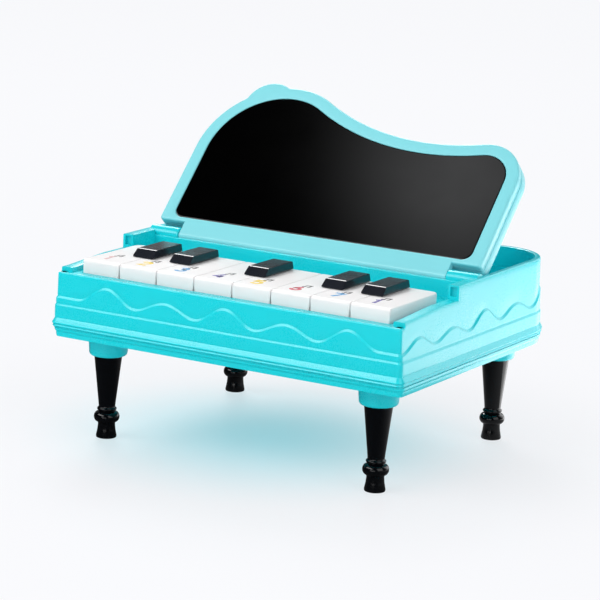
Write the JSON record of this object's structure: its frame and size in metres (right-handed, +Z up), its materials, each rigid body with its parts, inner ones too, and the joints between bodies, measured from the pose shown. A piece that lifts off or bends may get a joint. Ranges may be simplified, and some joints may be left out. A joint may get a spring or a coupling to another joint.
{
  "type": "toy piano",
  "caption": "Small toy grand piano with a moulded case on turned legs, a row of sprung keys and a hinged piano-shaped lid that closes over a storage tray.",
  "frame": {"origin": "on the floor, under the centre of the case", "axes": "+X to the player's right, +Y from the keys towards the tail, +Z up"},
  "size_m": [0.157, 0.1486, 0.1309],
  "materials": {
    "case_plastic": "satin moulded turquoise plastic",
    "lid_gloss": "high-gloss black sheet",
    "leg_plastic": "satin-gloss black plastic",
    "key_white": "semi-gloss white plastic",
    "key_black": "semi-gloss dark plastic",
    "inner_plastic": "plain unpainted plastic",
    "rod_steel": "drawn steel",
    "board_laminate": "green laminate",
    "contact_rubber": "soft grey rubber",
    "speaker_metal": "black pressed sheet",
    "speaker_paper": "dark paper",
    "magnet_ferrite": "grey ferrite",
    "cell_can": "plain metal can",
    "contact_metal": "plated spring sheet",
    "switch_plastic": "black plastic",
    "screw_steel": "plated steel"
  },
  "bodies": {
    "case": {"upper_case": "case_plastic", "bottom_cover": "case_plastic", "battery_door": "case_plastic", "leg_front_left": "leg_plastic", "leg_front_right": "leg_plastic", "leg_rear_left": "leg_plastic", "leg_rear_right": "leg_plastic", "black_key_1": "key_black", "black_key_2": "key_black", "black_key_3": "key_black", "black_key_4": "key_black", "black_key_5": "key_black", "key_frame": "inner_plastic", "key_pivot_rod": "rod_steel", "circuit_board": "board_laminate", "contact_strip": "contact_rubber", "speaker_frame": "speaker_metal", "speaker_cone": "speaker_paper", "speaker_magnet": "magnet_ferrite", "battery_cells": "cell_can", "battery_contacts": "contact_metal", "power_switch_body": "switch_plastic", "case_screws": "screw_steel", "frame_screws": "screw_steel", "door_screw": "screw_steel"},
    "lid": {"lid_frame": "case_plastic", "lid_panel": "lid_gloss"},
    "switch_knob": {"power_switch_knob": "switch_plastic"},
    "key_1": {"white_key_1": "key_white"},
    "key_2": {"white_key_2": "key_white"},
    "key_3": {"white_key_3": "key_white"},
    "key_4": {"white_key_4": "key_white"},
    "key_5": {"white_key_5": "key_white"},
    "key_6": {"white_key_6": "key_white"},
    "key_7": {"white_key_7": "key_white"},
    "key_8": {"white_key_8": "key_white"}
  },
  "joints": [
    {"name": "lid_hinge", "type": "hinge", "parent": "case", "child": "lid", "pos_m": [0, -0.00789, 0.0731], "axis": [1, 0, 0], "range_deg": [-46.24, 43.76]},
    {"name": "key_1_press", "type": "hinge", "parent": "case", "child": "key_1", "pos_m": [-0.0595, -0.02139, 0.0615], "axis": [1, 0, 0], "range_deg": [0, 3], "stiffness_Nm_per_rad": 0.5, "springref_deg": -0.57, "deforming": ["contact_strip"]},
    {"name": "key_2_press", "type": "hinge", "parent": "case", "child": "key_2", "pos_m": [-0.0425, -0.02139, 0.0615], "axis": [1, 0, 0], "range_deg": [0, 3], "stiffness_Nm_per_rad": 0.5, "springref_deg": -0.57, "deforming": ["contact_strip"]},
    {"name": "key_3_press", "type": "hinge", "parent": "case", "child": "key_3", "pos_m": [-0.0255, -0.02139, 0.0615], "axis": [1, 0, 0], "range_deg": [0, 3], "stiffness_Nm_per_rad": 0.5, "springref_deg": -0.57, "deforming": ["contact_strip"]},
    {"name": "key_4_press", "type": "hinge", "parent": "case", "child": "key_4", "pos_m": [-0.0085, -0.02139, 0.0615], "axis": [1, 0, 0], "range_deg": [0, 3], "stiffness_Nm_per_rad": 0.5, "springref_deg": -0.57, "deforming": ["contact_strip"]},
    {"name": "key_5_press", "type": "hinge", "parent": "case", "child": "key_5", "pos_m": [0.0085, -0.02139, 0.0615], "axis": [1, 0, 0], "range_deg": [0, 3], "stiffness_Nm_per_rad": 0.5, "springref_deg": -0.57, "deforming": ["contact_strip"]},
    {"name": "key_6_press", "type": "hinge", "parent": "case", "child": "key_6", "pos_m": [0.0255, -0.02139, 0.0615], "axis": [1, 0, 0], "range_deg": [0, 3], "stiffness_Nm_per_rad": 0.5, "springref_deg": -0.57, "deforming": ["contact_strip"]},
    {"name": "key_7_press", "type": "hinge", "parent": "case", "child": "key_7", "pos_m": [0.0425, -0.02139, 0.0615], "axis": [1, 0, 0], "range_deg": [0, 3], "stiffness_Nm_per_rad": 0.5, "springref_deg": -0.57, "deforming": ["contact_strip"]},
    {"name": "key_8_press", "type": "hinge", "parent": "case", "child": "key_8", "pos_m": [0.0595, -0.02139, 0.0615], "axis": [1, 0, 0], "range_deg": [0, 3], "stiffness_Nm_per_rad": 0.5, "springref_deg": -0.57, "deforming": ["contact_strip"]},
    {"name": "switch_slide", "type": "slide", "parent": "case", "child": "switch_knob", "axis": [1, 0, 0], "range_m": [0, 0.004]}
  ]
}
